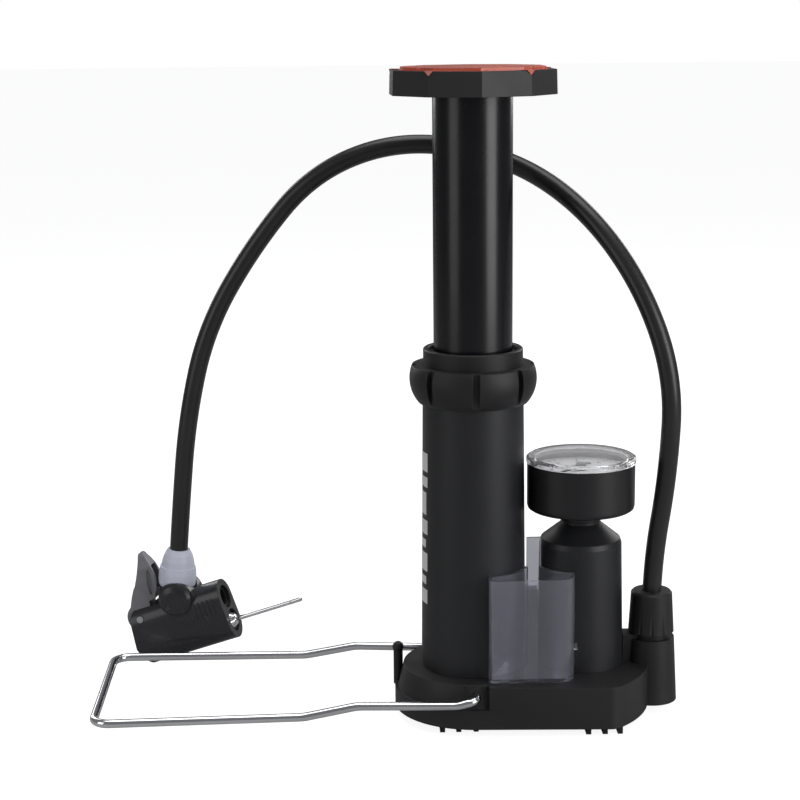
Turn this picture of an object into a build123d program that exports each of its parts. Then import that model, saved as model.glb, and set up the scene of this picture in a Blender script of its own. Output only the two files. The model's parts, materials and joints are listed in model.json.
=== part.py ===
"""Foot pump: a spring-return pump on a flat base, with a pressure gauge on an air bottle,
a standing hose with a twin valve head, a folding wire foot bail and a clear accessory box.

Millimetres. +Z is up, +X points from the barrel towards the air bottle, the user stands at -Y.
The origin is on the barrel axis, on the floor plane under the foot ribs.
"""

import os
from math import asin, cos, pi, radians, sin, tan

from build123d import *

os.makedirs("parts", exist_ok=True)

# ---------------------------------------------------------------- driving dimensions
BASE_BOTTOM = 4.0
BASE_TOP = 24.5
ROOF = 4.0
WALL = 3.2
LEDGE_Z = 13.4
FLANGE_R = 38.2
CONE_LOW_R = 36.5
CONE_TOP_R = 34.0
BLOCK_X = 4.7
CORNER_X = 64.0
CORNER_Y = 41.0
END_X = 85.0
PLATE_TOP = 6.5

BARREL_FOOT_R = 25.15
BARREL_TOP_R = 23.9
COLLAR_R = 24.8
BORE_R = 21.0
BARREL_FLOOR = 28.0
BARREL_TOP = 166.0
NUT_BOTTOM = 153.8
NUT_TOP = 171.4
NUT_R = 30.0
NUT_GROOVES = 8
SLEEVE_R = 23.5
SLEEVE_TOP = 179.3

TUBE_R = 18.55
TUBE_BORE = 16.55
TUBE_BOTTOM = 150.0
ROD_R = 6.0
HEAD_TOP = 158.0
PEDAL_BOTTOM = 296.8
PEDAL_TOP = 308.0
PEDAL_R = 39.2
PEDAL_SIDES = 10
PEDAL_TURN = 2.0
PAD_R = 35.4
PAD_TOP = 309.4
SOCKET_TOP = 303.0
PLUG_BOTTOM = 294.8

BOTTLE_X = 51.5
BOTTLE_FOOT_R = 20.9
BOTTLE_TOP_R = 19.7
BOTTLE_SHOULDER = 85.0
BOTTLE_NECK_R = 9.4
BOTTLE_TOP = 95.2
GAUGE_BOTTOM = 100.7
GAUGE_TOP = 123.6
GAUGE_R = 25.7

PORT_X = 86.3
PORT_TOP = 36.0
HOSE_NUT_BOTTOM = 38.8
HOSE_NUT_TOP = 59.0
HOSE_R = 4.6
HOSE_BORE = 2.6

HINGE_X = -1.0
HINGE_Z = 19.5
WIRE_R = 2.0
BAIL_REACH = 178.2
BAIL_HALF = 41.3

BOX_FRONT = -33.0
BOX_BACK = -8.0
BOX_LEFT = 5.2
BOX_RIGHT = 46.0
BOX_FLOOR = 24.85
BOX_TOP = 74.5
BOX_WALL = 1.4

HEAD_ELEVATION = 20.0
HEAD_TURN = 14.0
HEAD_MOUTH = (-121.2, 60.0, 34.8)
HEAD_R = 9.3
MOUTH_SPACING = 13.0

FIT = 0.05
BOTTLE_PLACE = Location((BOTTLE_X, 0, 0))
PORT_PLACE = Location((PORT_X, 0, 0))


def ring_face(outer_r, inner_r):
    """An annulus about the current sketch origin."""
    Circle(outer_r)
    Circle(inner_r, mode=Mode.SUBTRACT)


def turned(points, place=Location((0, 0, 0))):
    """A solid of revolution from (radius, height) points, about the Z axis of the given place."""
    with BuildPart() as body:
        with BuildSketch(Plane.XZ):
            with BuildLine():
                Polyline(*points, close=True)
            make_face()
        revolve(axis=Axis.Z)
    return body.part.moved(place)


def facing_x(x, z):
    """Plane looking along +X, its origin on the XZ plane, local X along +Y."""
    return Plane(origin=(x, 0, z), x_dir=(0, 1, 0), z_dir=(1, 0, 0))


def facing_y(x, y, z):
    """Plane looking along -Y, local X along +X."""
    return Plane(origin=(x, y, z), x_dir=(1, 0, 0), z_dir=(0, -1, 0))


def finish(builder, name):
    """Label a finished piece and write its file."""
    builder.part.label = name
    export_step(builder.part, "parts/" + name + ".step")


# ---------------------------------------------------------------- base moulding
CORNER_ROUND = 7.0


def base_outline():
    """Plan of the base: round under the barrel, nearly straight flanks, blunt curved right end."""
    with BuildSketch() as plan:
        with BuildLine():
            ThreePointArc((0, FLANGE_R), (-FLANGE_R, 0), (0, -FLANGE_R))
            Line((0, -FLANGE_R), (CORNER_X, -CORNER_Y))
            ThreePointArc((CORNER_X, -CORNER_Y), (78.3, -23.6), (END_X, 0))
            ThreePointArc((END_X, 0), (78.3, 23.6), (CORNER_X, CORNER_Y))
            Line((CORNER_X, CORNER_Y), (0, FLANGE_R))
        make_face()
        fillet([v for v in plan.vertices() if abs(v.X - CORNER_X) < 0.1], CORNER_ROUND)
    return plan.sketch


outline = base_outline()
SCREW_SPOTS = ((-31.0, 0), (28.0, 27.0), (28.0, -27.0), (71.5, 19.0), (71.5, -19.0))
BARREL_SCREW_R = 23.0

with BuildPart() as base:
    with BuildSketch(Plane.XY.offset(BASE_BOTTOM)):
        add(outline)
    extrude(amount=LEDGE_Z - BASE_BOTTOM)
    with BuildSketch(Plane.XY.offset(LEDGE_Z)):
        add(outline)
        with Locations((BLOCK_X, 0)):
            Rectangle(100, 100, align=(Align.MAX, Align.CENTER), mode=Mode.SUBTRACT)
    extrude(amount=BASE_TOP - LEDGE_Z)
    add(turned(((0, LEDGE_Z), (CONE_LOW_R, LEDGE_Z), (CONE_TOP_R, BASE_TOP), (0, BASE_TOP))))
    # inside, open at the bottom
    with BuildSketch(Plane.XY.offset(BASE_BOTTOM)):
        add(outline)
        offset(amount=-WALL, kind=Kind.INTERSECTION)
    extrude(amount=LEDGE_Z - WALL - BASE_BOTTOM, mode=Mode.SUBTRACT)
    with BuildSketch(Plane.XY.offset(LEDGE_Z - WALL)):
        add(outline)
        with Locations((BLOCK_X + 1.0, 0)):
            Rectangle(100, 100, align=(Align.MAX, Align.CENTER), mode=Mode.SUBTRACT)
        offset(amount=-WALL, kind=Kind.INTERSECTION)
        Circle(CONE_TOP_R - WALL)
    extrude(amount=BASE_TOP - ROOF - LEDGE_Z + WALL, mode=Mode.SUBTRACT)
    # screw bosses, hinge bosses
    with BuildSketch(Plane.XY.offset(PLATE_TOP)):
        with Locations(*SCREW_SPOTS):
            Circle(3.5)
    extrude(amount=BASE_TOP - ROOF - PLATE_TOP + 0.5)
    with BuildSketch(facing_y(HINGE_X, 34.5, HINGE_Z)):
        Rectangle(10, 9)
    extrude(amount=69.0)
    with BuildSketch(facing_y(HINGE_X, 27.5, HINGE_Z)):
        Rectangle(12, 2 * (BASE_TOP - ROOF - HINGE_Z))
    extrude(amount=55.0, mode=Mode.SUBTRACT)
    with BuildSketch(facing_y(HINGE_X, 27.5, 15.0)):
        Rectangle(12, 10)
    extrude(amount=55.0, mode=Mode.SUBTRACT)
    # hose port with the duct from the bottle
    with BuildSketch(Plane.XY.offset(BASE_BOTTOM + 0.5)):
        with Locations((PORT_X, 0)):
            Circle(12.8)
    extrude(amount=PORT_TOP - BASE_BOTTOM - 0.5, taper=2.9)
    with BuildSketch(Plane.XY.offset(BASE_TOP - 1)):
        with Locations((74.5, 0)):
            Rectangle(9, 10)
    extrude(amount=38.0 - BASE_TOP + 1)
    with BuildSketch(Plane.XY.offset(PORT_TOP)):
        with Locations((PORT_X, 0)):
            Circle(8.8)
    extrude(amount=10.0)
    with BuildSketch(Plane.XY.offset(46.0)):
        with Locations((PORT_X, 0)):
            Circle(3.5 + FIT)
    extrude(amount=-33.0, mode=Mode.SUBTRACT)
    with BuildSketch(facing_x(70.0, 16.0)):
        Circle(2.6 + FIT)
    extrude(amount=PORT_X - 70.0, mode=Mode.SUBTRACT)
    # web between barrel and bottle
    with BuildSketch(Plane.XY.offset(BASE_TOP - 1)):
        with Locations((28.2, 1.0)):
            Rectangle(12, 8)
    extrude(amount=61.0 - BASE_TOP + 1)
    # parking post for the valve head
    with BuildSketch(Plane.XY.offset(LEDGE_Z - 2)):
        with Locations((-36.4, 8.0)):
            Circle(2.3)
    extrude(amount=30.0 - LEDGE_Z + 2)
    with Locations((-36.4, 8.0, 30.0)):
        Sphere(2.75)
    # clearances for barrel, bottle, wire ends and screws
    with BuildSketch(Plane.XY.offset(BASE_TOP)):
        Circle(BARREL_FOOT_R + FIT)
        with Locations((BOTTLE_X, 0)):
            Circle(BOTTLE_FOOT_R + FIT)
    extrude(amount=60.0, mode=Mode.SUBTRACT)
    with BuildSketch(Plane.XY.offset(BASE_TOP)):
        Circle(15.0 + FIT)
        with Locations((BOTTLE_X, 0)):
            Circle(4.0 + FIT)
        with PolarLocations(BARREL_SCREW_R, 3, start_angle=60):
            Circle(1.7)
    extrude(amount=-ROOF - 1, mode=Mode.SUBTRACT)
    with BuildSketch(facing_y(HINGE_X, 50.0, HINGE_Z)):
        Circle(WIRE_R + 0.08)
    extrude(amount=100.0, mode=Mode.SUBTRACT)
    with BuildSketch(Plane.XY.offset(PLATE_TOP)):
        with Locations(*SCREW_SPOTS):
            Circle(1.5)
    extrude(amount=11.0, mode=Mode.SUBTRACT)
finish(base, "base")

# ---------------------------------------------------------------- bottom plate, its screws and foot pads
PAD_PLATE_TOP = 5.2
LEFT_RIBS = (-16.8, -9.1, -0.9)
RIGHT_RIBS = (51.7, 59.5, 66.6)
RIB_WIDTH = 2.4


def pad_plan(ribs, half_length, grow):
    """Plan of a foot pad's back plate, grown by a clearance."""
    middle = (ribs[0] + ribs[-1]) / 2
    with BuildSketch() as plan:
        with Locations((middle, 0)):
            RectangleRounded(ribs[-1] - ribs[0] + 3.6 + 2 * grow, 2 * (half_length + grow), 1.5)
    return plan.sketch


with BuildPart() as bottom_plate:
    with BuildSketch(Plane.XY.offset(BASE_BOTTOM)):
        add(outline)
        offset(amount=-WALL - 0.15, kind=Kind.INTERSECTION)
        with Locations((PORT_X, 0)):
            Circle(13.1, mode=Mode.SUBTRACT)
    extrude(amount=PLATE_TOP - BASE_BOTTOM - FIT)
    with BuildSketch(Plane.XY.offset(BASE_BOTTOM)):
        add(pad_plan(LEFT_RIBS, 28.0, 0.1))
        add(pad_plan(RIGHT_RIBS, 32.0, 0.1))
    extrude(amount=PAD_PLATE_TOP - BASE_BOTTOM, mode=Mode.SUBTRACT)
    with BuildSketch(Plane.XY.offset(BASE_BOTTOM)):
        with Locations(*SCREW_SPOTS):
            Circle(3.1)
    extrude(amount=1.4, mode=Mode.SUBTRACT)
    with BuildSketch(Plane.XY.offset(BASE_BOTTOM)):
        with Locations(*SCREW_SPOTS):
            Circle(1.7)
    extrude(amount=5.0, mode=Mode.SUBTRACT)
finish(bottom_plate, "bottom_plate")


def screw_group(spots, seat_z, head_r, head_h, shank_r, shank_l):
    """Identical cross-recess screws, heads below the seat plane, shanks up."""
    with BuildPart() as group:
        with BuildSketch(Plane.XY.offset(seat_z)):
            with Locations(*spots):
                Circle(head_r)
        extrude(amount=-head_h)
        with BuildSketch(Plane.XY.offset(seat_z)):
            with Locations(*spots):
                Circle(shank_r)
        extrude(amount=shank_l)
        with BuildSketch(Plane.XY.offset(seat_z - head_h)):
            with Locations(*spots):
                Rectangle(head_r * 1.2, 0.7)
                Rectangle(0.7, head_r * 1.2)
        extrude(amount=head_h * 0.6, mode=Mode.SUBTRACT)
    return group


plate_screws = screw_group(SCREW_SPOTS, BASE_BOTTOM + 1.4, 2.9, 1.2, 1.45, 11.0)
finish(plate_screws, "plate_screws")


def foot_pad(ribs, plate_half, rib_half):
    """Rubber pad with three floor ribs running front to back."""
    with BuildPart() as pad:
        with BuildSketch(Plane.XY.offset(BASE_BOTTOM)):
            add(pad_plan(ribs, plate_half, 0))
        extrude(amount=PAD_PLATE_TOP - BASE_BOTTOM - FIT)
        with BuildSketch():
            with Locations(*[(x, 0) for x in ribs]):
                Rectangle(RIB_WIDTH, 2 * rib_half)
        extrude(amount=BASE_BOTTOM)
    return pad


foot_pad_left = foot_pad(LEFT_RIBS, 28.0, 30.0)
finish(foot_pad_left, "foot_pad_left")
foot_pad_right = foot_pad(RIGHT_RIBS, 32.0, 36.5)
finish(foot_pad_right, "foot_pad_right")

# ---------------------------------------------------------------- barrel, collar nut and guide
with BuildPart() as barrel:
    add(turned((
        (2.0, 15.0), (15.0, 15.0), (15.0, BASE_TOP), (BARREL_FOOT_R, BASE_TOP),
        (BARREL_TOP_R, NUT_BOTTOM - 0.8),
        (BARREL_TOP_R, 155.0), (COLLAR_R, 155.8), (COLLAR_R, BARREL_TOP), (BORE_R, BARREL_TOP),
        (BORE_R, BARREL_FLOOR), (ROD_R + FIT, BARREL_FLOOR), (ROD_R + FIT, BASE_TOP), (2.0, BASE_TOP),
    )))
    with BuildSketch(Plane.XY.offset(15.0)):
        Circle(7.0 + FIT)
    extrude(amount=BASE_TOP - 15.0, mode=Mode.SUBTRACT)
    with BuildSketch(Plane.XY.offset(BASE_TOP)):
        with PolarLocations(BARREL_SCREW_R, 3, start_angle=60):
            Circle(1.3)
    extrude(amount=9.0, mode=Mode.SUBTRACT)
    with BuildSketch(facing_x(6.0, 16.9)):
        Rectangle(6.0, 4.2)
    extrude(amount=10.0, mode=Mode.SUBTRACT)
finish(barrel, "barrel")

barrel_spots = [(BARREL_SCREW_R * cos(radians(a)), BARREL_SCREW_R * sin(radians(a))) for a in (60, 180, 300)]
barrel_screws = screw_group(barrel_spots, BASE_TOP - ROOF, 2.6, 1.6, 1.25, 11.0)
finish(barrel_screws, "barrel_screws")

with BuildPart() as guide_sleeve:
    add(turned((
        (19.7, 158.5), (20.9, 158.5), (20.9, BARREL_TOP), (24.6, BARREL_TOP), (24.6, 168.6),
        (SLEEVE_R, 168.6), (SLEEVE_R, SLEEVE_TOP - 0.5), (SLEEVE_R - 0.5, SLEEVE_TOP), (21.3, SLEEVE_TOP),
        (20.9, SLEEVE_TOP - 0.4), (20.9, 175.6), (19.7, 175.6),
    )))
finish(guide_sleeve, "guide_sleeve")

with BuildPart() as guide_bush:
    add(turned(((18.63, 158.5), (19.65, 158.5), (19.65, 175.6), (18.63, 175.6))))
finish(guide_bush, "guide_bush")

with BuildPart() as rod_wiper:
    add(turned((
        (18.63, 177.4), (18.63, 176.8), (19.2, 175.65), (20.85, 175.65), (20.85, 177.0), (19.4, 177.0),
    )))
finish(rod_wiper, "rod_wiper")

with BuildPart() as stop_bumper:
    add(turned(((19.0, 157.0), (20.85, 157.0), (20.85, 158.45), (19.0, 158.45))))
finish(stop_bumper, "stop_bumper")

with BuildPart() as collar_nut:
    with BuildSketch(Plane.XZ):
        with BuildLine():
            Line((24.9, NUT_BOTTOM), (25.9, NUT_BOTTOM))
            ThreePointArc((25.9, NUT_BOTTOM), (NUT_R, 164.0), (28.8, NUT_TOP))
            Line((28.8, NUT_TOP), (SLEEVE_R + 0.15, NUT_TOP))
            Line((SLEEVE_R + 0.15, NUT_TOP), (SLEEVE_R + 0.15, 168.65))
            Line((SLEEVE_R + 0.15, 168.65), (24.9, 168.65))
            Line((24.9, 168.65), (24.9, NUT_BOTTOM))
        make_face()
    revolve(axis=Axis.Z)
    with BuildSketch(Plane.XY.offset(NUT_BOTTOM - 1)):
        with PolarLocations(NUT_R - 0.6, NUT_GROOVES, start_angle=-91.1):
            Rectangle(5.0, 3.4)
    extrude(amount=NUT_TOP - NUT_BOTTOM + 2, mode=Mode.SUBTRACT)
finish(collar_nut, "collar_nut")

# ---------------------------------------------------------------- fixed rod inside the tube
with BuildPart() as pump_rod:
    with BuildSketch(Plane.XY.offset(BASE_TOP)):
        ring_face(ROD_R, 2.5)
    extrude(amount=154.0 - BASE_TOP)
finish(pump_rod, "pump_rod")

with BuildPart() as rod_head:
    add(turned((
        (2.5, 154.05), (ROD_R + FIT, 154.05), (ROD_R + FIT, 150.0), (16.1, 150.0), (16.1, 152.5),
        (13.8, 152.5),
        (13.8, 155.5), (16.1, 155.5), (16.1, HEAD_TOP), (2.5, HEAD_TOP),
    )))
finish(rod_head, "rod_head")

with BuildPart() as rod_seal:
    add(turned((
        (13.85, 152.55), (16.1, 152.55), (TUBE_BORE - 0.05, 153.4), (TUBE_BORE - 0.05, 154.6),
        (16.0, 155.45),
        (13.85, 155.45),
    )))
finish(rod_seal, "rod_seal")

SPRING_R = 12.6
SPRING_WIRE = 1.1
SPRING_TURNS = 8
SPRING_LOW = HEAD_TOP + SPRING_WIRE + FIT
SPRING_HIGH = PLUG_BOTTOM - SPRING_WIRE - FIT
with BuildPart() as return_spring:
    with BuildLine(Plane.XY.offset(SPRING_LOW)) as coil:
        Helix((SPRING_HIGH - SPRING_LOW) / SPRING_TURNS, SPRING_HIGH - SPRING_LOW, SPRING_R)
    with BuildSketch(Plane(coil.line @ 0, z_dir=coil.line % 0)):
        Circle(SPRING_WIRE)
    sweep(path=coil.line, is_frenet=True)
finish(return_spring, "return_spring")

# ---------------------------------------------------------------- plunger
with BuildPart() as piston_tube:
    with BuildSketch(Plane.XY.offset(TUBE_BOTTOM)):
        ring_face(TUBE_R, TUBE_BORE)
    extrude(amount=SOCKET_TOP - TUBE_BOTTOM)
finish(piston_tube, "piston_tube")

with BuildPart() as guide_ring:
    add(turned((
        (TUBE_R + 0.02, 150.5), (20.4, 150.5), (20.7, 151.0), (20.7, 156.1), (20.4, 156.6),
        (TUBE_R + 0.02, 156.6),
    )))
finish(guide_ring, "guide_ring")

with BuildPart() as tube_plug:
    add(turned((
        (0, PLUG_BOTTOM), (TUBE_BORE - FIT, PLUG_BOTTOM), (TUBE_BORE - FIT, 297.0), (14.4, 297.0),
        (14.4, 299.4),
        (TUBE_BORE - FIT, 299.4), (TUBE_BORE - FIT, SOCKET_TOP - FIT), (0, SOCKET_TOP - FIT),
    )))
    with BuildSketch(Plane.XY.offset(SOCKET_TOP)):
        Circle(2.1)
    extrude(amount=-7.0, mode=Mode.SUBTRACT)
finish(tube_plug, "tube_plug")

with BuildPart() as plug_seal:
    add(turned(((14.45, 297.1), (TUBE_BORE - 0.03, 297.1), (TUBE_BORE - 0.03, 299.3), (14.45, 299.3))))
finish(plug_seal, "plug_seal")

PEDAL_ROTATION = -90 + PEDAL_TURN
TAB_ANGLES = [PEDAL_ROTATION + 36 + 72 * k for k in range(5)]
with BuildPart() as pedal:
    with BuildSketch(Plane.XY.offset(PEDAL_BOTTOM)):
        RegularPolygon(PEDAL_R + 0.2, PEDAL_SIDES, rotation=PEDAL_ROTATION)
    extrude(amount=PEDAL_TOP - PEDAL_BOTTOM, taper=1.6)
    with BuildSketch(Plane.XY.offset(305.5)):
        RegularPolygon(PAD_R + 0.2, PEDAL_SIDES, rotation=PEDAL_ROTATION)
    extrude(amount=PEDAL_TOP - 305.5, mode=Mode.SUBTRACT)
    with BuildSketch(Plane.XY.offset(PEDAL_BOTTOM)):
        RegularPolygon(PEDAL_R - 2.6, PEDAL_SIDES, rotation=PEDAL_ROTATION)
        Circle(21.4, mode=Mode.SUBTRACT)
        with PolarLocations(29.0, PEDAL_SIDES, start_angle=PEDAL_ROTATION):
            Rectangle(20.0, 1.8, mode=Mode.SUBTRACT)
    extrude(amount=6.0, mode=Mode.SUBTRACT)
    with BuildSketch(Plane.XY.offset(PEDAL_BOTTOM)):
        Circle(TUBE_R + 0.03)
    extrude(amount=SOCKET_TOP - PEDAL_BOTTOM + 0.02, mode=Mode.SUBTRACT)
    with BuildSketch(Plane.XY.offset(SOCKET_TOP - 1)):
        Circle(2.3)
    extrude(amount=4.0, mode=Mode.SUBTRACT)
    with BuildSketch(Plane.XY.offset(304.1)):
        Circle(4.3)
    extrude(amount=3.0, mode=Mode.SUBTRACT)
    for tab_angle in TAB_ANGLES:
        with BuildSketch(Plane.YZ.rotated((0, 0, tab_angle)).offset(30.0)):
            with Locations((0, PEDAL_TOP)):
                Polygon((-2.6, 0.1), (2.6, 0.1), (0, -2.5), align=None)
        extrude(amount=12.0, mode=Mode.SUBTRACT)
finish(pedal, "pedal")

with BuildPart() as pedal_screw:
    add(turned(((0, 297.5), (2.05, 297.5), (2.05, 304.15), (4.1, 304.15), (4.1, 305.4), (0, 305.4))))
    with BuildSketch(Plane.XY.offset(305.4)):
        RegularPolygon(1.8, 6)
    extrude(amount=-1.0, mode=Mode.SUBTRACT)
finish(pedal_screw, "pedal_screw")

with BuildPart() as pedal_pad:
    with BuildSketch(Plane.XY.offset(305.55)):
        RegularPolygon(PAD_R, PEDAL_SIDES, rotation=PEDAL_ROTATION)
    extrude(amount=308.3 - 305.55)
    with BuildSketch(Plane.XY.offset(308.3)):
        RegularPolygon(PAD_R - 1.2, PEDAL_SIDES, rotation=PEDAL_ROTATION)
        for gap in (-20.0, -10.0, 0, 10.0, 20.0):
            with Locations((0, gap)):
                Rectangle(80, 2.2, mode=Mode.SUBTRACT)
    extrude(amount=PAD_TOP - 308.3)
    for tab_angle in TAB_ANGLES:
        with BuildSketch(Plane.YZ.rotated((0, 0, tab_angle)).offset(33.0)):
            with Locations((0, PEDAL_TOP)):
                Polygon((-2.3, 0.3), (2.3, 0.3), (0, -2.1), align=None)
        extrude(amount=5.8)
finish(pedal_pad, "pedal_pad")

# ---------------------------------------------------------------- valve and air ways in the base
with BuildPart() as check_valve:
    add(turned((
        (0, 14.2), (7.0, 14.2), (7.0, BASE_TOP - FIT), (2.5, BASE_TOP - FIT), (2.5, 21.5), (4.6, 20.0),
        (4.6, 15.6), (0, 15.6),
    )))
    with BuildSketch(facing_x(3.0, 16.9)):
        Circle(1.4)
    extrude(amount=5.0, mode=Mode.SUBTRACT)
finish(check_valve, "check_valve")

with BuildPart() as check_flap:
    add(turned(((0, 18.2), (3.9, 19.0), (3.9, 19.7), (1.2, 19.2), (1.2, 24.0), (1.9, 24.4), (0, 24.4))))
finish(check_flap, "check_flap")

with BuildPart() as transfer_tube:
    with BuildSketch(facing_x(7.1, 16.9)):
        ring_face(2.05, 1.3)
    extrude(amount=BOTTLE_X - 4.05 - 7.1)
finish(transfer_tube, "transfer_tube")

with BuildPart() as outlet_tube:
    with BuildSketch(facing_x(BOTTLE_X + 4.05, 16.0)):
        ring_face(2.55, 1.4)
    extrude(amount=80.0 - BOTTLE_X - 4.05)
finish(outlet_tube, "outlet_tube")

with BuildPart() as bottle_fitting:
    add(turned(
        ((1.5, 12.0), (4.0, 12.0), (4.0, BARREL_FLOOR), (7.0, BARREL_FLOOR), (7.0, 30.5), (1.5, 30.5)),
        BOTTLE_PLACE,
    ))
    with BuildSketch(facing_x(BOTTLE_X - 5, 16.4)):
        Circle(1.2)
    extrude(amount=10.0, mode=Mode.SUBTRACT)
finish(bottle_fitting, "bottle_fitting")

with BuildPart() as bottle_nut:
    with BuildSketch(Plane.XY.offset(BASE_TOP - ROOF)):
        with Locations((BOTTLE_X, 0)):
            RegularPolygon(7.5, 6)
            Circle(4.0 + FIT, mode=Mode.SUBTRACT)
    extrude(amount=-1.0)
finish(bottle_nut, "bottle_nut")

with BuildPart() as accumulator:
    add(turned((
        (4.0 + FIT, BASE_TOP), (BOTTLE_FOOT_R, BASE_TOP), (BOTTLE_TOP_R, BOTTLE_SHOULDER - 1), (18.9, 86.4),
        (BOTTLE_NECK_R, 94.0), (BOTTLE_NECK_R, BOTTLE_TOP), (5.0 + FIT, BOTTLE_TOP), (5.0 + FIT, 92.0),
        (16.6, 83.8), (17.2, 82.0), (18.2, BARREL_FLOOR), (4.0 + FIT, BARREL_FLOOR),
    ), BOTTLE_PLACE))
finish(accumulator, "accumulator")

# ---------------------------------------------------------------- pressure gauge
with BuildPart() as gauge_stem:
    add(turned(((1.4, 86.0), (5.0, 86.0), (5.0, 105.0), (1.4, 105.0)), BOTTLE_PLACE))
finish(gauge_stem, "gauge_stem")

with BuildPart() as gauge_housing:
    add(turned((
        (5.0 + FIT, BOTTLE_TOP + FIT), (9.9, BOTTLE_TOP + FIT), (10.3, GAUGE_BOTTOM), (24.2, GAUGE_BOTTOM),
        (25.3, 101.4), (GAUGE_R, 102.8), (GAUGE_R, GAUGE_TOP), (23.6, GAUGE_TOP), (23.6, 103.2),
        (5.0 + FIT, 103.2),
    ), BOTTLE_PLACE))
finish(gauge_housing, "gauge_housing")

with BuildPart() as gauge_socket:
    with BuildSketch(Plane.XY.offset(105.0)):
        with Locations((BOTTLE_X, 0)):
            Rectangle(12, 8)
            Circle(1.4, mode=Mode.SUBTRACT)
    extrude(amount=4.0)
    with BuildSketch(Plane.XY.offset(109.0)):
        with Locations((BOTTLE_X, -3.2), (BOTTLE_X, 3.2)):
            Rectangle(12, 1.2)
    extrude(amount=6.0)
    with BuildSketch(Plane.XY.offset(115.0)):
        with Locations((BOTTLE_X, 0)):
            Rectangle(12, 8)
            Circle(0.85, mode=Mode.SUBTRACT)
    extrude(amount=1.2)
finish(gauge_socket, "gauge_socket")

with BuildPart() as bourdon_tube:
    with BuildLine(Plane.XY.offset(111.0)) as bourdon_arc:
        CenterArc((BOTTLE_X, 0), 16.5, -160, 250)
    with BuildSketch(Plane(bourdon_arc.line @ 0, z_dir=bourdon_arc.line % 0)):
        Ellipse(1.3, 3.0)
    sweep(path=bourdon_arc.line)
finish(bourdon_tube, "bourdon_tube")

with BuildPart() as gauge_dial:
    with BuildSketch(Plane.XY.offset(119.0)):
        with Locations((BOTTLE_X, 0)):
            ring_face(23.4, 2.0)
    extrude(amount=0.8)
finish(gauge_dial, "gauge_dial")

POINTER_ANGLE = 225
with BuildPart() as gauge_pointer:
    add(turned((
        (0, 112.0), (0.8, 112.0), (0.8, 120.6), (2.4, 120.6), (2.4, 122.0), (0, 122.0),
    ), BOTTLE_PLACE))
    pointing = (cos(radians(POINTER_ANGLE)), sin(radians(POINTER_ANGLE)), 0)
    with BuildSketch(Plane(origin=(BOTTLE_X, 0, 120.9), x_dir=pointing)):
        Polygon((-6.0, -1.3), (0, -1.1), (18.5, -0.3), (18.5, 0.3), (0, 1.1), (-6.0, 1.3), align=None)
    extrude(amount=0.6)
finish(gauge_pointer, "gauge_pointer")



def cap_middle(edge_r, edge_z, top_z):
    """Middle point of a shallow spherical cap's profile, whose centre is on the axis."""
    rise = top_z - edge_z
    sphere_r = (edge_r**2 + rise**2) / (2 * rise)
    half = asin(edge_r / sphere_r) / 2
    return (sphere_r * sin(half), top_z - sphere_r * (1 - cos(half)))


with BuildPart() as gauge_lens:
    with BuildSketch(Plane.XZ):
        with BuildLine():
            Line((23.5, 122.4), (23.5, GAUGE_TOP + FIT))
            Line((23.5, GAUGE_TOP + FIT), (26.1, GAUGE_TOP + FIT))
            Line((26.1, GAUGE_TOP + FIT), (26.1, 125.6))
            Line((26.1, 125.6), (25.2, 126.2))
            Line((25.2, 126.2), (22.6, 126.4))
            ThreePointArc((22.6, 126.4), cap_middle(22.6, 126.4, 128.0), (0, 128.0))
            Line((0, 128.0), (0, 126.4))
            ThreePointArc((0, 126.4), cap_middle(22.2, 124.9, 126.4), (22.2, 124.9))
            Line((22.2, 124.9), (22.2, 122.4))
            Line((22.2, 122.4), (23.5, 122.4))
        make_face()
    revolve(axis=Axis.Z)
gauge_lens.part = gauge_lens.part.moved(BOTTLE_PLACE)
finish(gauge_lens, "gauge_lens")

# ---------------------------------------------------------------- hose and its fittings
with BuildPart() as hose_barb:
    add(turned((
        (1.3, 39.0), (3.5, 39.0), (3.5, 46.1), (7.6, 46.1), (7.6, 48.1), (2.5, 48.1), (2.5, 60.0),
        (1.3, 60.0),
    ), PORT_PLACE))
finish(hose_barb, "hose_barb")

with BuildPart() as hose_nut:
    add(turned((
        (8.9, HOSE_NUT_BOTTOM), (11.0, HOSE_NUT_BOTTOM), (9.9, HOSE_NUT_TOP - 1), (9.0, HOSE_NUT_TOP),
        (HOSE_R + 0.1, HOSE_NUT_TOP), (HOSE_R + 0.1, 50.0), (7.7, 48.2), (7.7, 46.05), (8.9, 46.05),
    ), PORT_PLACE))
    with BuildSketch(Plane.XY.offset(HOSE_NUT_BOTTOM - 1)):
        with Locations(PORT_PLACE):
            with PolarLocations(11.3, 12, start_angle=-97):
                Circle(0.9)
    extrude(amount=17.5, mode=Mode.SUBTRACT)
finish(hose_nut, "hose_nut")

HOSE_ROUTE = (
    (86.3, 0, 48.2), (86.3, 0, 72), (92, -7, 118), (93, -13, 166), (78, -1, 210), (52, 18, 245),
    (19, 47, 265),
    (-30, 48, 274), (-74, 55, 258), (-105, 58, 221), (-129, 60, 180), (-140, 62, 134), (-145, 66, 87),
    (-147, 66.5, 63),
)


def route_radii(route):
    """Largest tangent arc at each inner point of a route: 0.45 of the shorter run over tan(half the turn)."""
    radii = []
    for before, here, after in zip(route, route[1:], route[2:]):
        run_in = Vector(*here) - Vector(*before)
        run_out = Vector(*after) - Vector(*here)
        half_turn = radians(run_in.get_angle(run_out)) / 2
        radii.append(0.45 * min(run_in.length, run_out.length) / tan(half_turn))
    return radii


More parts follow.
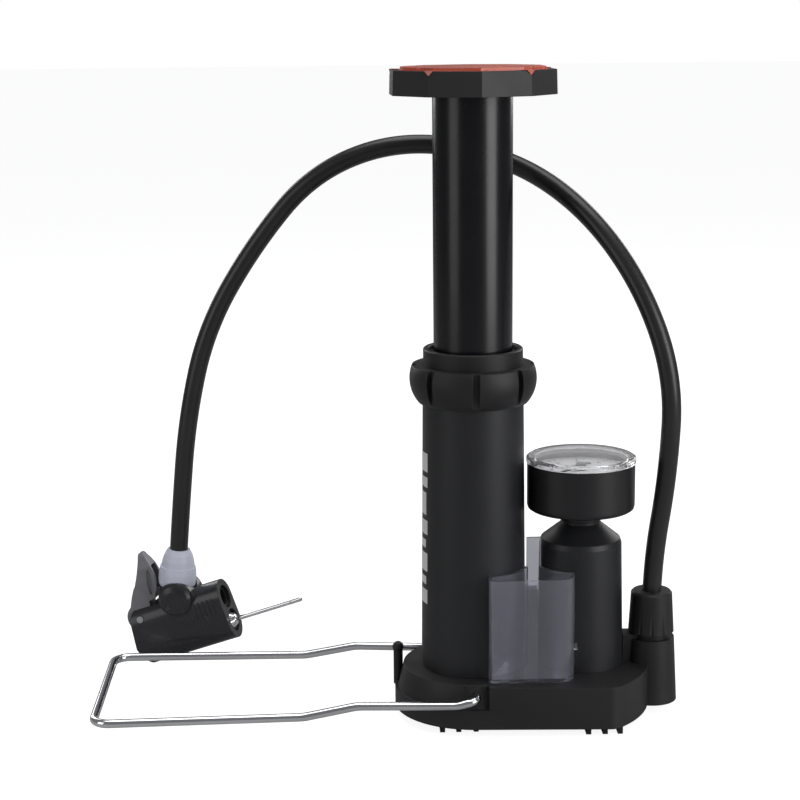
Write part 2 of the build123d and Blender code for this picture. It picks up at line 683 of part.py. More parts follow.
hose_radii = route_radii(HOSE_ROUTE)
with BuildPart() as hose:
    with BuildLine() as hose_path:
        FilletPolyline(*HOSE_ROUTE, radius=hose_radii)
    with BuildSketch(Plane(hose_path.line @ 0, z_dir=hose_path.line % 0)):
        ring_face(HOSE_R, HOSE_BORE)
    sweep(path=hose_path.line)
finish(hose, "hose")
print("hose radii", [round(r) for r in hose_radii])
hose_length = hose_path.wires()[0].length
print("hose length", round(hose_length, 1))
print("hose volume", round(hose.part.volume), round(pi * (HOSE_R**2 - HOSE_BORE**2) * hose_length))

# ---------------------------------------------------------------- valve head
tilt = radians(HEAD_ELEVATION)
swing = radians(HEAD_TURN)
MOUTH_DIR = Vector(cos(tilt) * cos(swing), -cos(tilt) * sin(swing), sin(tilt))
ACROSS = Vector(sin(swing), cos(swing), 0)
MOUTH_PLANE = Plane(origin=HEAD_MOUTH, x_dir=ACROSS, z_dir=MOUTH_DIR)
SIDE_PLANE = Plane(origin=HEAD_MOUTH, x_dir=MOUTH_DIR, z_dir=-ACROSS)
UPPER_MOUTH = MOUTH_SPACING / 2
LOWER_MOUTH = -MOUTH_SPACING / 2
PIN_SPOT = (-45.0, 9.7)
CHEEK_R = 5.8
LEVER_HALF = 4.8
MOUTH_BORE = 6.0
NUT_PLACE = Plane(origin=HOSE_ROUTE[-1], z_dir=Vector(*HOSE_ROUTE[-2]) - Vector(*HOSE_ROUTE[-1])).location


def mouth_place(height):
    """Place on the mouth face at a bore centre, Z out of the mouth."""
    return (MOUTH_PLANE * Location((0, height, 0)))


with BuildPart() as head_body:
    with BuildSketch(SIDE_PLANE):
        Polygon(
            (0, 20.0), (-34.0, 20.0), (-38.0, 15.5), (-45.0, 15.5), (-45.0, 9.7), (-50.8, 9.7),
            (-51.4, 5.0),
            (-52.8, -5.0), (-48.5, -17.0), (0, -17.0), align=None,
        )
        with Locations(PIN_SPOT):
            Circle(CHEEK_R)
    extrude(amount=12.0, both=True)
    with BuildSketch(MOUTH_PLANE):
        SlotCenterToCenter(MOUTH_SPACING, 2 * HEAD_R, rotation=90)
    extrude(amount=-56.0, mode=Mode.INTERSECT)
    add(turned(
        (
            (0, -12.0), (4.5, -12.0), (7.2, -11.4), (8.7, -10.2), (9.2, -8.6), (9.2, 8.6), (8.7, 10.2),
            (7.2, 11.4), (4.5, 12.0), (0, 12.0),
        ),
        Plane(origin=SIDE_PLANE.from_local_coords((-22.6, 14.4, 0)), z_dir=ACROSS).location,
    ))
    add(turned(((0, -17.7), (10.1, -17.7), (10.1, 6.0), (0, 6.0)), NUT_PLACE), mode=Mode.SUBTRACT)
    add(turned(((0, -20.0), (8.6, -20.0), (8.6, -17.7), (6.5, -17.7), (6.5, -8.1), (0, -8.1)), NUT_PLACE))
    with BuildSketch(SIDE_PLANE):
        with Locations((-46.0, 12.0)):
            Rectangle(20.0, 24.0)
    extrude(amount=5.1, both=True, mode=Mode.SUBTRACT)
    with BuildSketch(MOUTH_PLANE):
        with Locations((0, UPPER_MOUTH), (0, LOWER_MOUTH)):
            Circle(MOUTH_BORE)
    extrude(amount=-24.5, mode=Mode.SUBTRACT)
    with BuildSketch(MOUTH_PLANE.offset(-20.0)):
        with Locations((0, UPPER_MOUTH)):
            Circle(4.0)
    extrude(amount=-18.0, mode=Mode.SUBTRACT)
    with BuildSketch(SIDE_PLANE):
        with Locations(PIN_SPOT):
            Circle(1.85)
    extrude(amount=15.0, both=True, mode=Mode.SUBTRACT)
    add(turned(((0, -23.0), (1.5, -23.0), (1.5, -8.0), (0, -8.0)), NUT_PLACE), mode=Mode.SUBTRACT)
    for side in (1, -1):
        with BuildSketch(SIDE_PLANE.offset(side * (HEAD_R - 0.4))):
            with Locations(*[(reach, 4.5) for reach in (-14.5, -12.0, -9.5, -7.0, -4.5)]):
                Rectangle(1.2, 9.0)
        extrude(amount=side * 3.0, mode=Mode.SUBTRACT)
finish(head_body, "head_body")

with BuildPart() as head_nut:
    add(turned((
        (6.65, -17.5), (8.7, -17.5), (9.4, -16.4), (9.7, -14.0), (9.6, -10.4), (9.1, -7.2), (8.6, -7.2),
        (8.1, -3.8),
        (7.1, -0.6), (5.7, 2.0), (HOSE_R + 0.1, 2.0),
        (HOSE_R + 0.1, -0.1), (6.15, -5.3), (6.15, -7.9), (6.65, -7.9),
    ), NUT_PLACE))
finish(head_nut, "head_nut")

with BuildPart() as head_barb:
    add(turned((
        (1.2, -8.0), (6.1, -8.0), (6.1, -5.5), (4.4, -0.1), (2.5, -0.1), (2.5, 9.0), (1.2, 9.0),
    ), NUT_PLACE))
finish(head_barb, "head_barb")

with BuildPart() as head_lever:
    with BuildSketch(SIDE_PLANE):
        with Locations((PIN_SPOT[0] - 0.9, PIN_SPOT[1])):
            Circle(7.6)
        Polygon(
            (-51.2, 13.4), (-46.8, 21.4), (-44.0, 25.5), (-33.2, 20.5), (-34.4, 17.4), (-38.5, 16.8),
            (-40, 9),
            align=None,
        )
        with BuildLine():
            Spline((-47.5, 20.0), (-45.6, 22.6), (-39.6, 32.4), (-36.4, 40.6))
            ThreePointArc((-36.4, 40.6), (-34.9, 41.8), (-33.4, 40.0))
            Spline((-33.4, 40.0), (-31.4, 34.6), (-30.8, 27.0), (-33.2, 20.0))
            Line((-33.2, 20.0), (-47.5, 20.0))
        make_face()
    extrude(amount=LEVER_HALF, both=True)
    with BuildSketch(MOUTH_PLANE):
        Polygon(
            (-LEVER_HALF, 0), (-LEVER_HALF, 27.0), (-4.2, 34.0), (-2.8, 39.5), (-1.4, 42.5), (1.4, 42.5),
            (2.8, 39.5), (4.2, 34.0), (LEVER_HALF, 27.0), (LEVER_HALF, 0), align=None,
        )
    extrude(amount=-60.0, mode=Mode.INTERSECT)
    with BuildSketch(SIDE_PLANE):
        with BuildLine():
            Spline((-41.5, 24.0), (-38.6, 29.5), (-37.0, 34.0))
            Line((-37.0, 34.0), (-25.0, 34.0))
            Line((-25.0, 34.0), (-25.0, 18.5))
            Line((-25.0, 18.5), (-35.0, 21.6))
            Line((-35.0, 21.6), (-41.5, 24.0))
        make_face()
    extrude(amount=LEVER_HALF - 1.9, both=True, mode=Mode.SUBTRACT)
    for side in (1, -1):
        with BuildSketch(SIDE_PLANE.offset(side * (LEVER_HALF - 0.9))):
            with Locations((-34.6, 26.0)):
                Ellipse(1.3, 6.5, rotation=-12)
        extrude(amount=side * 3.0, mode=Mode.SUBTRACT)
    with BuildSketch(SIDE_PLANE):
        with Locations(PIN_SPOT):
            Circle(1.8)
    extrude(amount=15.0, both=True, mode=Mode.SUBTRACT)
finish(head_lever, "head_lever")

with BuildPart() as lever_pin:
    with BuildSketch(SIDE_PLANE):
        with Locations(PIN_SPOT):
            Circle(1.75)
    extrude(amount=9.5, both=True)
finish(lever_pin, "lever_pin")

for name, height in (("mouth_gasket_upper", UPPER_MOUTH), ("mouth_gasket_lower", LOWER_MOUTH)):
    with BuildPart() as mouth_gasket:
        add(turned(
            ((4.2, -10.0), (MOUTH_BORE - FIT, -10.0), (MOUTH_BORE - FIT, -1.6),
            (4.2, -1.6)), mouth_place(height),
        ))
    finish(mouth_gasket, name)

with BuildPart() as head_plunger:
    add(turned(
        ((0, -37.3), (3.65, -37.3), (3.65, -24.0), (5.65, -24.0), (5.65, -19.0), (1.2, -19.0),
        (0.6, -14.0), (0, -14.0)),
        mouth_place(UPPER_MOUTH),
    ))
finish(head_plunger, "head_plunger")

NEEDLE_TIP = 38.5
with BuildPart() as ball_needle:
    add(turned((
        (0, -16.0), (4.15, -16.0), (4.15, -0.8), (2.6, 1.2), (1.2, 1.6), (1.2, NEEDLE_TIP - 0.8),
        (0.7, NEEDLE_TIP), (0, NEEDLE_TIP),
    ), mouth_place(LOWER_MOUTH)))
    air_hole = mouth_place(LOWER_MOUTH).position + MOUTH_DIR * (NEEDLE_TIP - 6)
    with BuildSketch(Plane(origin=air_hole, z_dir=-ACROSS)):
        Circle(0.55)
    extrude(amount=2.0, mode=Mode.SUBTRACT)
finish(ball_needle, "ball_needle")

# ---------------------------------------------------------------- folding foot bail
SPLAY = tan(radians(1.66))


def leg_point(x, z, side):
    """Point on a bail leg, which runs slightly outwards as it leaves the hinge."""
    return (x, side * (BAIL_HALF + (HINGE_X - x) * SPLAY), z)


BAIL_END_X = HINGE_X - BAIL_REACH
with BuildPart() as bail:
    with BuildLine() as wire:
        FilletPolyline(
            (HINGE_X, -29.5, HINGE_Z), leg_point(HINGE_X, HINGE_Z, -1), leg_point(-10.0, 17.4, -1),
            leg_point(-57.0, 18.8, -1),
            leg_point(-82.0, 14.3, -1), leg_point(BAIL_END_X, 14.0, -1), leg_point(BAIL_END_X, 14.0, 1),
            leg_point(-82.0, 14.3, 1), leg_point(-57.0, 18.8, 1), leg_point(-10.0, 17.4, 1),
            leg_point(HINGE_X, HINGE_Z, 1), (HINGE_X, 29.5, HINGE_Z),
            radius=(4.5, 20.0, 24.0, 24.0, 8.0, 8.0, 24.0, 24.0, 20.0, 4.5),
        )
    with BuildSketch(Plane(wire.line @ 0, z_dir=wire.line % 0)):
        Circle(WIRE_R)
    sweep(path=wire.line)
finish(bail, "bail")

# ---------------------------------------------------------------- clear accessory box
def box_plan(inset):
    """Plan of the clear box, which fits round the barrel and the bottle."""
    with BuildSketch() as plan:
        with BuildLine():
            Line((BOX_LEFT, BOX_BACK), (BOX_LEFT, BOX_FRONT + 3.0))
            RadiusArc((BOX_LEFT, BOX_FRONT + 3.0), (BOX_LEFT + 3.0, BOX_FRONT), -3.0)
            Line((BOX_LEFT + 3.0, BOX_FRONT), (BOX_RIGHT - 9.0, BOX_FRONT))
            RadiusArc((BOX_RIGHT - 9.0, BOX_FRONT), (BOX_RIGHT, BOX_FRONT + 9.0), -9.0)
            Line((BOX_RIGHT, BOX_FRONT + 9.0), (BOX_RIGHT, BOX_BACK))
            Line((BOX_RIGHT, BOX_BACK), (BOX_LEFT, BOX_BACK))
        make_face()
        offset(amount=-inset)
        Circle(BARREL_FOOT_R + 0.5 + inset, mode=Mode.SUBTRACT)
        with Locations((BOTTLE_X, 0)):
            Circle(BOTTLE_FOOT_R + 0.5 + inset, mode=Mode.SUBTRACT)
    return plan.sketch


with BuildPart() as accessory_box:
    with BuildSketch(Plane.XY.offset(BOX_FLOOR)):
        add(box_plan(0))
    extrude(amount=BOX_TOP - BOX_FLOOR)
    with BuildSketch(Plane.XY.offset(BOX_FLOOR + 1.5)):
        add(box_plan(BOX_WALL))
    extrude(amount=BOX_TOP, mode=Mode.SUBTRACT)
    with BuildSketch(Plane.XZ.offset(-BOX_BACK)):
        with Locations((28.1, BOX_TOP - 6)):
            Rectangle(6.8, 88.9 - BOX_TOP + 6, align=(Align.CENTER, Align.MIN))
    extrude(amount=BOX_WALL)
    with BuildSketch(Plane.XZ.offset(-BOX_FRONT)):
        for z, half in ((50.0, 7.3), (46.0, 6.0), (42.5, 4.7), (38.5, 2.3)):
            with Locations((23.5, z)):
                Rectangle(2 * half, 0.9)
    extrude(amount=0.5)
    with BuildSketch(Plane.YZ.offset(BOX_RIGHT)):
        with Locations((-22.3, 38.7)):
            Rectangle(1.4, 3.0)
    extrude(amount=1.6)
finish(accessory_box, "accessory_box")
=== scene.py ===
"""Visual model of the foot pump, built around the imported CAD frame. Metres throughout."""

import json
import math
import bmesh
import bpy
from mathutils import Matrix, Vector


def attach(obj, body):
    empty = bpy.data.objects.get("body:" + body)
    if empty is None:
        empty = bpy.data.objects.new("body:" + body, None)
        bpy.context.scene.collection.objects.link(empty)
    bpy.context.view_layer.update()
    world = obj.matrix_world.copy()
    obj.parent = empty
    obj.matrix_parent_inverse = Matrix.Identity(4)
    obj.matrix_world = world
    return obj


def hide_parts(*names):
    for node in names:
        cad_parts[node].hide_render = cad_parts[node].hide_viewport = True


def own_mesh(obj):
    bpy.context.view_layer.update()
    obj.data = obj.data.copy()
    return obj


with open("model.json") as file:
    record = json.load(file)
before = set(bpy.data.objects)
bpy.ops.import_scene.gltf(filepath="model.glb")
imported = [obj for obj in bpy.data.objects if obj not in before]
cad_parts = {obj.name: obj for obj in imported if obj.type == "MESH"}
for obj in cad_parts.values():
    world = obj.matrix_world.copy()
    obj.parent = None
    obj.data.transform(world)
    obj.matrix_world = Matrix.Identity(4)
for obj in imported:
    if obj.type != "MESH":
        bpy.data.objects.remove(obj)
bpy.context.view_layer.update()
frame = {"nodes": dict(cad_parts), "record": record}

MM = 0.001
nodes = frame["nodes"]
slot_of = {row["node"]: row["material_slot"] for row in frame["record"]["subparts"]}


# ---------------------------------------------------------------- camera and studio
CAMERA_PLACE = Vector((-0.06154, -0.87247, 0.33269))
CAMERA_PITCH = math.radians(11.533)
CAMERA_YAW = math.radians(1.774)
CAMERA_ROLL = math.radians(-0.560)
CAMERA_LENS = 85.0
SENSOR_WIDTH = 36.0
ROOM_GLOW = 0.16
FLOOR_GLOW = 0.9
FLOOR_GREY = (0.4, 0.4, 0.4, 1)
FLOOR_REACH = 12.0


def make_camera():
    """Camera at the photograph's viewing angle: pitched down, yawed a little to the right."""
    ahead = Vector((
        math.sin(CAMERA_YAW) * math.cos(CAMERA_PITCH), math.cos(CAMERA_YAW) * math.cos(CAMERA_PITCH),
        -math.sin(CAMERA_PITCH),
    ))
    level = Vector((math.cos(CAMERA_YAW), -math.sin(CAMERA_YAW), 0))
    upright = level.cross(ahead)
    right = math.cos(CAMERA_ROLL) * level + math.sin(CAMERA_ROLL) * upright
    up = -math.sin(CAMERA_ROLL) * level + math.cos(CAMERA_ROLL) * upright
    data = bpy.data.cameras.new("camera")
    data.lens = CAMERA_LENS
    data.sensor_width = SENSOR_WIDTH
    camera = bpy.data.objects.new("camera", data)
    bpy.context.collection.objects.link(camera)
    turn = Matrix((right, up, -ahead)).transposed().to_4x4()
    camera.matrix_world = Matrix.Translation(CAMERA_PLACE) @ turn
    bpy.context.scene.camera = camera


def area_light(name, place, target, size_x, size_y, power):
    """A soft box that faces its target."""
    data = bpy.data.lights.new(name, "AREA")
    data.shape = "RECTANGLE"
    data.size = size_x
    data.size_y = size_y
    data.energy = power
    light = bpy.data.objects.new(name, data)
    bpy.context.collection.objects.link(light)
    light.location = place
    aim = Vector(target) - Vector(place)
    light.rotation_euler = aim.to_track_quat("-Z", "Y").to_euler()


def make_world():
    """White surroundings behind the object, with a dim room for the reflections."""
    world = bpy.data.worlds.new("studio_world")
    bpy.context.scene.world = world
    world.use_nodes = True
    tree = world.node_tree
    room = tree.nodes["Background"]
    room.inputs["Color"].default_value = (0.95, 0.97, 1.0, 1.0)
    room.inputs["Strength"].default_value = ROOM_GLOW
    white = tree.nodes.new("ShaderNodeBackground")
    white.inputs["Color"].default_value = (1.0, 1.0, 1.0, 1.0)
    white.inputs["Strength"].default_value = 1.0
    path = tree.nodes.new("ShaderNodeLightPath")
    seen = tree.nodes.new("ShaderNodeMath")
    seen.operation = "MAXIMUM"
    mix = tree.nodes.new("ShaderNodeMixShader")
    tree.links.new(path.outputs["Is Camera Ray"], seen.inputs[0])
    tree.links.new(path.outputs["Is Transmission Ray"], seen.inputs[1])
    tree.links.new(seen.outputs[0], mix.inputs["Fac"])
    tree.links.new(room.outputs[0], mix.inputs[1])
    tree.links.new(white.outputs[0], mix.inputs[2])
    tree.links.new(mix.outputs[0], tree.nodes["World Output"].inputs["Surface"])


def make_floor():
    """Plain pale floor that fades into the white surroundings."""
    mesh = bpy.data.meshes.new("floor")
    corners = [(x * FLOOR_REACH, y * FLOOR_REACH, 0) for x, y in ((-1, -1), (1, -1), (1, 1), (-1, 1))]
    mesh.from_pydata(corners, [], [(0, 1, 2, 3)])
    floor = bpy.data.objects.new("floor", mesh)
    bpy.context.collection.objects.link(floor)
    material = bpy.data.materials.new("floor_white")
    material.use_nodes = True
    tree = material.node_tree
    bright = tree.nodes["Principled BSDF"]
    bright.inputs["Base Color"].default_value = FLOOR_GREY
    bright.inputs["Roughness"].default_value = 0.9
    bright.inputs["Specular IOR Level"].default_value = 0.0
    bright.inputs["Emission Color"].default_value = (1, 1, 1, 1)
    bright.inputs["Emission Strength"].default_value = FLOOR_GLOW
    dim = tree.nodes.new("ShaderNodeBsdfDiffuse")
    dim.inputs["Color"].default_value = FLOOR_GREY
    path = tree.nodes.new("ShaderNodeLightPath")
    mix = tree.nodes.new("ShaderNodeMixShader")
    tree.links.new(path.outputs["Is Camera Ray"], mix.inputs["Fac"])
    tree.links.new(dim.outputs[0], mix.inputs[1])
    tree.links.new(bright.outputs[0], mix.inputs[2])
    tree.links.new(mix.outputs[0], tree.nodes["Material Output"].inputs["Surface"])
    mesh.materials.append(material)


def make_studio():
    """White floor and surroundings, soft boxes right, left, above and behind."""
    bpy.context.scene.view_settings.view_transform = "Standard"
    make_world()
    make_floor()
    area_light("box_right", (0.90, -0.72, 0.42), (0, 0, 0.18), 0.62, 0.9, 6.6)
    area_light("box_left", (-1.05, -0.62, 0.42), (0, 0, 0.18), 0.6, 0.9, 2.1)
    area_light("box_top", (0.05, 0.05, 1.35), (0, 0, 0.1), 1.3, 1.0, 9.0)
    area_light("box_back_right", (0.75, 1.1, 0.6), (0, 0, 0.15), 0.5, 0.8, 3.0)
    area_light("box_back_left", (-0.75, 1.1, 0.6), (0, 0, 0.15), 0.5, 0.8, 3.0)


# ---------------------------------------------------------------- materials
def node(tree, kind, **values):
    """Add a shader node and set its plain attributes."""
    made = tree.nodes.new(kind)
    for key, value in values.items():
        setattr(made, key, value)
    return made


def noise(tree, coords, scale, detail=3.0):
    """Noise texture driven by object coordinates, scale in features per metre."""
    texture = node(tree, "ShaderNodeTexNoise")
    texture.inputs["Scale"].default_value = scale
    texture.inputs["Detail"].default_value = detail
    tree.links.new(coords.outputs["Object"], texture.inputs["Vector"])
    return texture


def spread(tree, source, low, high):
    """Map a 0..1 value to a range."""
    ramp = node(tree, "ShaderNodeMapRange")
    ramp.inputs["From Min"].default_value = 0.3
    ramp.inputs["From Max"].default_value = 0.7
    ramp.inputs["To Min"].default_value = low
    ramp.inputs["To Max"].default_value = high
    tree.links.new(source, ramp.inputs["Value"])
    return ramp.outputs["Result"]


def surface(
    name, color, rough, rough_spread=0.05, grain=2500.0, grain_depth=0.00002, patch=40.0, patch_gain=0.12,
    metal=0.0, coat=0.0, edge_round=0.0004, wear=None, subsurface=0.0,
):
    """Procedural finish: fine grain, uneven roughness, slight colour patches, rounded and worn edges."""
    material = bpy.data.materials.new(name)
    material.use_nodes = True
    tree = material.node_tree
    shader = tree.nodes["Principled BSDF"]
    coords = node(tree, "ShaderNodeTexCoord")
    fine = noise(tree, coords, grain, 2.0)
    broad = noise(tree, coords, patch, 4.0)
    patchy = spread(tree, broad.outputs["Fac"], rough - rough_spread, rough + rough_spread)
    tree.links.new(patchy, shader.inputs["Roughness"])
    tint = node(tree, "ShaderNodeMix", data_type="RGBA")
    tint.inputs["A"].default_value = (*[c * (1 - patch_gain) for c in color], 1)
    tint.inputs["B"].default_value = (*[min(1.0, c * (1 + patch_gain)) for c in color], 1)
    tree.links.new(spread(tree, broad.outputs["Fac"], 0.0, 1.0), tint.inputs["Factor"])
    out_color = tint.outputs["Result"]
    round_edge = node(tree, "ShaderNodeBevel", samples=4)
    round_edge.inputs["Radius"].default_value = edge_round
    if wear:
        geometry = node(tree, "ShaderNodeNewGeometry")
        worn = node(tree, "ShaderNodeMix", data_type="RGBA")
        worn.inputs["B"].default_value = (*wear, 1)
        edge = node(tree, "ShaderNodeMapRange")
        edge.inputs["From Min"].default_value = 0.52
        edge.inputs["From Max"].default_value = 0.68
        edge.inputs["To Max"].default_value = 0.6
        tree.links.new(geometry.outputs["Pointiness"], edge.inputs["Value"])
        tree.links.new(out_color, worn.inputs["A"])
        tree.links.new(edge.outputs["Result"], worn.inputs["Factor"])
        out_color = worn.outputs["Result"]
    tree.links.new(out_color, shader.inputs["Base Color"])
    bump = node(tree, "ShaderNodeBump")
    bump.inputs["Distance"].default_value = grain_depth
    bump.inputs["Strength"].default_value = 0.6
    tree.links.new(fine.outputs["Fac"], bump.inputs["Height"])
    tree.links.new(round_edge.outputs["Normal"], bump.inputs["Normal"])
    tree.links.new(bump.outputs["Normal"], shader.inputs["Normal"])
    shader.inputs["Metallic"].default_value = metal
    shader.inputs["Coat Weight"].default_value = coat
    shader.inputs["Coat Roughness"].default_value = 0.08
    if subsurface:
        shader.inputs["Subsurface Weight"].default_value = subsurface
        shader.inputs["Subsurface Radius"].default_value = (0.004, 0.003, 0.003)
    return material


def clear(name, color, rough, ior, transmission):
    """Polished clear plastic with faint moulding waves."""
    material = surface(
        name, color, rough, rough_spread=0.02, grain=300.0, grain_depth=0.000006, patch=60.0,
        patch_gain=0.02, edge_round=0.0003,
    )
    shader = material.node_tree.nodes["Principled BSDF"]
    shader.inputs["Transmission Weight"].default_value = transmission
    shader.inputs["IOR"].default_value = ior
    return material


def make_materials():
    """One finish for each material slot of the record, and a few for added pieces."""
    black = (0.018, 0.018, 0.020)
    return {
        "base_plastic": surface("mat_base", (0.011, 0.011, 0.0125), 0.5, wear=(0.035, 0.035, 0.037)),
        "barrel_plastic": surface(
            "mat_barrel", (0.016, 0.0165, 0.019), 0.46, grain=1800.0, edge_round=0.0006
        ),
        "tube_black": surface(
            "mat_tube", (0.006, 0.006, 0.008), 0.27, 0.03, grain=900.0, grain_depth=0.000003,
            patch_gain=0.05, coat=0.05,
        ),
        "pedal_plastic": surface("mat_pedal", (0.014, 0.014, 0.016), 0.5, wear=(0.045, 0.045, 0.045)),
        "pad_red": surface(
            "mat_pad", (0.68, 0.12, 0.07), 0.26, 0.08, grain=700.0, grain_depth=0.00003, coat=0.15,
            wear=(0.8, 0.3, 0.22),
        ),
        "foot_rubber": surface("mat_foot", (0.02, 0.02, 0.021), 0.75, grain=1500.0, grain_depth=0.00005),
        "seal_rubber": surface("mat_seal", (0.012, 0.012, 0.012), 0.45),
        "nylon": surface("mat_nylon", (0.7, 0.7, 0.66), 0.4, subsurface=0.1),
        "inner_plastic": surface("mat_inner", (0.03, 0.03, 0.033), 0.4),
        "steel": surface("mat_steel", (0.55, 0.55, 0.57), 0.3, metal=1.0, grain_depth=0.00001),
        "spring_steel": surface("mat_spring", (0.4, 0.4, 0.42), 0.3, metal=1.0),
        "aluminium": surface("mat_aluminium", (0.7, 0.7, 0.72), 0.32, metal=1.0, grain=4000.0),
        "brass": surface("mat_brass", (0.7, 0.48, 0.18), 0.28, metal=1.0, patch_gain=0.1),
        "chrome_wire": surface(
            "mat_chrome", (0.9, 0.9, 0.92), 0.07, 0.03, grain=600.0, grain_depth=0.000004,
            patch_gain=0.04, metal=1.0,
        ),
        "gauge_black": surface("mat_gauge", (0.010, 0.010, 0.012), 0.42, edge_round=0.0006),
        "dial_white": surface("mat_dial", (0.82, 0.82, 0.84), 0.5, patch_gain=0.02),
        "pointer_black": surface("mat_pointer", (0.02, 0.02, 0.02), 0.4),
        "clear_plastic": clear("mat_clear", (0.9, 0.905, 1.0), 0.04, 1.52, 0.955),
        "lens_clear": clear("mat_lens", (0.98, 0.98, 1.0), 0.03, 1.46, 0.96),
        "hose_rubber": surface("mat_hose", (0.019, 0.019, 0.02), 0.34, 0.05, grain=1200.0, coat=0.1),
        "nut_clear": clear("mat_nut", (0.82, 0.85, 0.98), 0.3, 1.4, 0.12),
        "head_plastic": surface("mat_head", (0.024, 0.024, 0.028), 0.26, 0.05, grain=900.0, coat=0.15),
        "lever_grey": surface("mat_lever", (0.17, 0.17, 0.185), 0.4, grain=1500.0, wear=(0.34, 0.34, 0.36)),
        "print_white": surface("mat_print", (0.8, 0.8, 0.8), 0.5, patch_gain=0.03),
        "ink_black": surface("mat_ink", black, 0.6),
    }


materials = make_materials()


FINISH_BY_NODE = {"gauge_lens": "lens_clear"}


def dress_frame():
    """Give every CAD node its finish."""
    for name, obj in nodes.items():
        for piece_slot in obj.material_slots:
            piece_slot.material = materials[FINISH_BY_NODE.get(name, slot_of[name])]


# ---------------------------------------------------------------- mesh helpers
def new_piece(name, mesh, body, slot, material=None):
    """Link a mesh as a piece that rides on a body and takes its finish from a record slot."""
    piece = bpy.data.objects.new(name, mesh)
    bpy.context.collection.objects.link(piece)
    mesh.materials.append(material or materials[slot])
    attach(piece, body)
    return piece


def smooth(obj, angle=math.radians(40)):
    """Smooth shading with sharp creases kept."""
    for polygon in obj.data.polygons:
        polygon.use_smooth = True
    obj.data.set_sharp_from_angle(angle=angle)


# ---------------------------------------------------------------- hose
HOSE_ROUTE = (
    (86.3, 0, 48.2), (86.3, 0, 72), (92, -7, 118), (93, -13, 166), (78, -1, 210),
    (52, 18, 245), (19, 47, 265), (-30, 48, 274), (-74, 55, 258), (-105, 58, 221),
    (-129, 60, 180), (-140, 62, 134), (-145, 66, 87), (-147, 66.5, 63),
)
HOSE_DIAMETER = 0.0092


def make_hose():
    """Rubber hose: one smooth spline from the port nut, behind the tube, to the valve head."""
    curve = bpy.data.curves.new("hose_visual", "CURVE")
    curve.dimensions = "3D"
    spline = curve.splines.new("NURBS")
    spline.points.add(len(HOSE_ROUTE) - 1)
    for point, spot in zip(spline.points, HOSE_ROUTE):
        point.co = (*[value * MM for value in spot], 1.0)
    spline.order_u = 3
    spline.use_endpoint_u = True
    spline.resolution_u = 16
    curve.bevel_depth = HOSE_DIAMETER / 2
    curve.bevel_resolution = 8
    curve.use_fill_caps = True
    hose = bpy.data.objects.new("hose_visual", curve)
    bpy.context.collection.objects.link(hose)
    curve.materials.append(materials["hose_rubber"])
    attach(hose, "pump_body")
    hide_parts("hose")


# ---------------------------------------------------------------- return spring
SPRING_LOW = 0.15915
SPRING_HIGH = 0.29365
SPRING_RADIUS = 0.0126
SPRING_WIRE = 0.0011
SPRING_TURNS = 8
SPRING_STEPS = 36
WIRE_SIDES = 10


def spring_ring(angle, height):
    """Ring of points round the spring wire at one place on the helix."""
    outward = Vector((math.cos(angle), math.sin(angle), 0))
    centre = outward * SPRING_RADIUS + Vector((0, 0, height))
    turns = [math.tau * side / WIRE_SIDES for side in range(WIRE_SIDES)]
    return [
        centre + (outward * math.cos(turn) + Vector((0, 0, math.sin(turn)))) * SPRING_WIRE
        for turn in turns
    ]


def make_spring():
    """Return spring inside the tube, built as one coil mesh on the pump body."""
    count = SPRING_TURNS * SPRING_STEPS
    length = SPRING_HIGH - SPRING_LOW
    points = []
    for step in range(count + 1):
        share = step / count
        points += spring_ring(math.tau * SPRING_TURNS * share, SPRING_LOW + length * share)
    last = count * WIRE_SIDES
    faces = [tuple(range(WIRE_SIDES - 1, -1, -1)), tuple(range(last, last + WIRE_SIDES))]
    for ring in range(0, last, WIRE_SIDES):
        for side in range(WIRE_SIDES):
            low = ring + side
            after = ring + (side + 1) % WIRE_SIDES
            faces.append((low, after, after + WIRE_SIDES, low + WIRE_SIDES))
    mesh = bpy.data.meshes.new("spring_visual")
    mesh.from_pydata(points, [], faces)
    spring = new_piece("spring_visual", mesh, "pump_body", "spring_steel")
    smooth(spring)
    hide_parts("return_spring")
    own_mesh(spring)


# ---------------------------------------------------------------- gauge dial printing
DIAL_CENTRE = Vector((0.0515, 0.0, 0.1199))
DIAL_ZERO = 225.0
DIAL_SWEEP = 270.0
DIAL_STEPS = 24
DIAL_NUMBERS = ("0", "2", "4", "6", "8", "10", "12")
TICK_OUTER = 20.3 * MM
TICK_INNER_MAJOR = 17.2 * MM
TICK_INNER_MINOR = 18.4 * MM
RIM_LINE = (20.5 * MM, 20.9 * MM)
HUB_LINE = (2.6 * MM, 3.4 * MM)
NUMBER_SIZE = 4.6 * MM
NUMBER_RADIUS = 14.0 * MM
INK_LIFT = 0.02 * MM
NUMBER_LIFT = 0.03 * MM


def dial_point(angle, radius, lift):
    """Point just above the dial, at an angle in degrees from +X."""
    turn = math.radians(angle)
    return DIAL_CENTRE + Vector((radius * math.cos(turn), radius * math.sin(turn), lift))


def add_sector(mesh, start, stop, inner, outer):
    """Flat print between two angles and two radii."""
    steps = max(1, round(abs(stop - start) / 4))
    rows = []
    for index in range(steps + 1):
        angle = start + (stop - start) * index / steps
        rows.append([mesh.verts.new(dial_point(angle, radius, INK_LIFT)) for radius in (inner, outer)])
    for (a, b), (c, d) in zip(rows, rows[1:]):
        mesh.faces.new((a, b, d, c) if stop > start else (c, d, b, a))


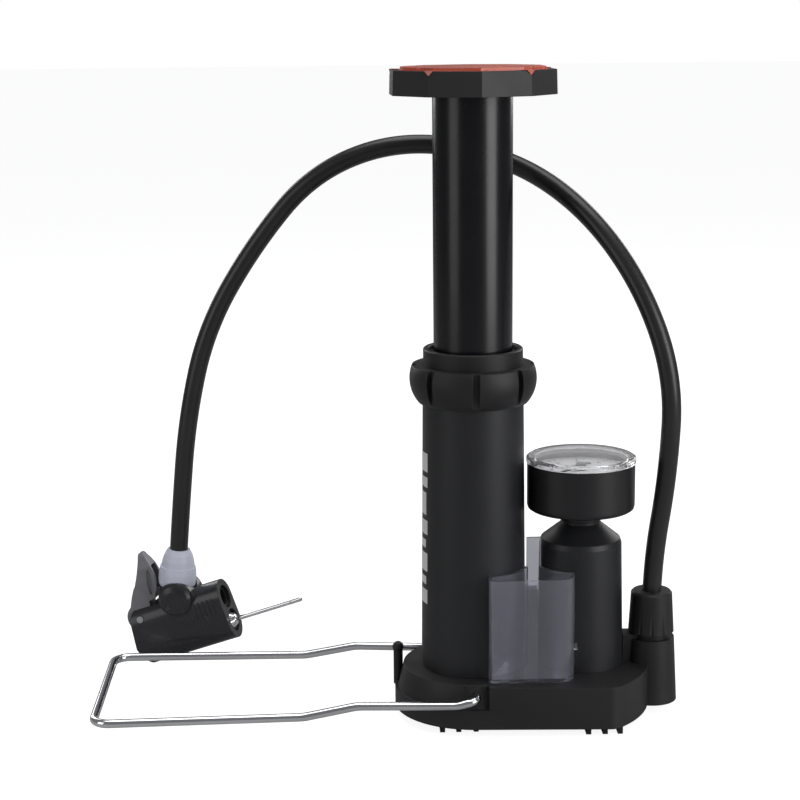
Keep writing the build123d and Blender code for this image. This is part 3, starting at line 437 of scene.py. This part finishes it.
def make_dial():
    """Ring of tick marks and plain numbers."""
    ticks = bmesh.new()
    for index in range(DIAL_STEPS + 1):
        angle = DIAL_ZERO - DIAL_SWEEP * index / DIAL_STEPS
        major = index % 4 == 0
        half = 0.9 if major else 0.45
        inner = TICK_INNER_MAJOR if major else TICK_INNER_MINOR
        add_sector(ticks, angle - half, angle + half, inner, TICK_OUTER)
    add_sector(ticks, DIAL_ZERO - DIAL_SWEEP, DIAL_ZERO, *RIM_LINE)
    add_sector(ticks, 0, 360, *HUB_LINE)
    for index, text in enumerate(DIAL_NUMBERS):
        font = bpy.data.curves.new("number", "FONT")
        font.body = text
        font.size = NUMBER_SIZE
        font.align_x = "CENTER"
        font.align_y = "CENTER"
        carrier = bpy.data.objects.new("number", font)
        drawn = bpy.data.meshes.new_from_object(carrier)
        angle = DIAL_ZERO - DIAL_SWEEP * index / (len(DIAL_NUMBERS) - 1)
        place = dial_point(angle, NUMBER_RADIUS, NUMBER_LIFT)
        drawn.transform(Matrix.Translation(place))
        ticks.from_mesh(drawn)
        bpy.data.objects.remove(carrier)
        bpy.data.meshes.remove(drawn)
    mesh = bpy.data.meshes.new("dial_scale")
    ticks.to_mesh(mesh)
    ticks.free()
    new_piece("dial_scale", mesh, "pump_body", "pointer_black", materials["ink_black"])


# ---------------------------------------------------------------- plain bars printed on the barrel
BARREL_LOW = (28.0, 25.15)
BARREL_HIGH = (150.0, 24.0)
PRINT_RISE = 0.04
PRINT_MIDDLE = 192.0
PRINT_STEPS = 6
PRINT_BARS = (
    (57, 7, 12), (66.5, 4, 9), (73, 9, 12), (84.5, 4, 8),
    (91, 7, 12), (100.5, 11, 9), (114, 5, 12), (121.5, 9, 12),
)


def barrel_point(angle, height):
    """Point just proud of the tapered barrel wall."""
    share = (height - BARREL_LOW[0]) / (BARREL_HIGH[0] - BARREL_LOW[0])
    radius = BARREL_LOW[1] + (BARREL_HIGH[1] - BARREL_LOW[1]) * share + PRINT_RISE
    turn = math.radians(angle)
    return Vector((radius * math.cos(turn), radius * math.sin(turn), height)) * MM


def make_print():
    """A column of plain white bars in place of the maker's lettering."""
    bars = bmesh.new()
    for low, tall, wide in PRINT_BARS:
        rows = []
        for index in range(PRINT_STEPS + 1):
            angle = PRINT_MIDDLE - wide + 2 * wide * index / PRINT_STEPS
            rows.append([bars.verts.new(barrel_point(angle, height)) for height in (low, low + tall)])
        for (a, b), (c, d) in zip(rows, rows[1:]):
            bars.faces.new((a, c, d, b))
    mesh = bpy.data.meshes.new("barrel_print")
    bars.to_mesh(mesh)
    bars.free()
    piece = new_piece("barrel_print", mesh, "pump_body", "dial_white", materials["print_white"])
    smooth(piece)


# ---------------------------------------------------------------- build
make_camera()
make_studio()
dress_frame()
make_hose()
make_spring()
make_dial()
make_print()
